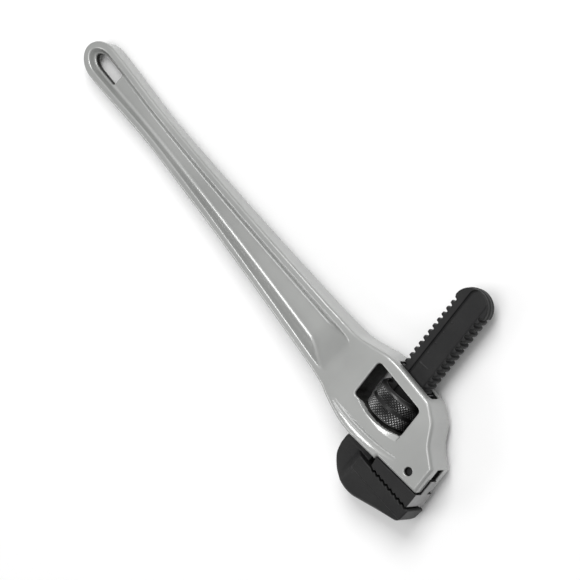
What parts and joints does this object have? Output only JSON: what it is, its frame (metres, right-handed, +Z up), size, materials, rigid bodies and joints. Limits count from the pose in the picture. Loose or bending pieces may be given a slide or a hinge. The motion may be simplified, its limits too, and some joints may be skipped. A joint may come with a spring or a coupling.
{
  "type": "offset pipe wrench",
  "caption": "Offset pipe wrench with a cast I-section handle, a threaded hook jaw set almost square to it, a knurled adjusting nut and a toothed heel jaw.",
  "frame": {"origin": "centre of the wrench's box in plan, at its lowest point, which is the rim of the adjusting nut", "axes": "+X along the handle from the hanging loop to the head, +Y along the jaw shank towards its free end, +Z up through the thickness of the wrench as it lies on its side"},
  "size_m": [0.6026, 0.2392, 0.0496],
  "materials": {
    "cast_aluminium": "satin silver-grey coat over a fine cast surface",
    "black_steel": "black phosphate over forged steel, bare on the ground end of the heel jaw",
    "pin_steel": "dark oiled steel",
    "spring_steel": "blued spring steel"
  },
  "bodies": {
    "housing": {"handle_housing": "cast_aluminium", "heel_jaw": "black_steel", "heel_jaw_pin": "pin_steel", "flat_spring_rivet": "pin_steel", "coil_spring": "spring_steel"},
    "leaf": {"flat_spring": "spring_steel"},
    "jaw": {"hook_jaw": "black_steel"},
    "nut": {"adjusting_nut": "black_steel"}
  },
  "joints": [
    {"name": "jaw_rock", "type": "hinge", "parent": "housing", "child": "leaf", "pos_m": [0.23725, -0.03741, 0.0248], "axis": [0, 0, 1], "range_deg": [-3, 0], "stiffness_Nm_per_rad": 30, "springref_deg": 3.44, "deforming": ["coil_spring"]},
    {"name": "jaw_slide", "type": "slide", "parent": "leaf", "child": "jaw", "axis": [0.1184, -0.993, 0], "range_m": [0, 0.09]},
    {"name": "nut_spin", "type": "hinge", "parent": "leaf", "child": "nut", "pos_m": [0.21073, -0.02446, 0.0248], "axis": [-0.1184, 0.993, 0], "range_deg": [-1, 4380]}
  ],
  "couplings": [
    {"joint": "nut_spin", "follows": "jaw_slide", "rad_per_m": 849.08}
  ]
}
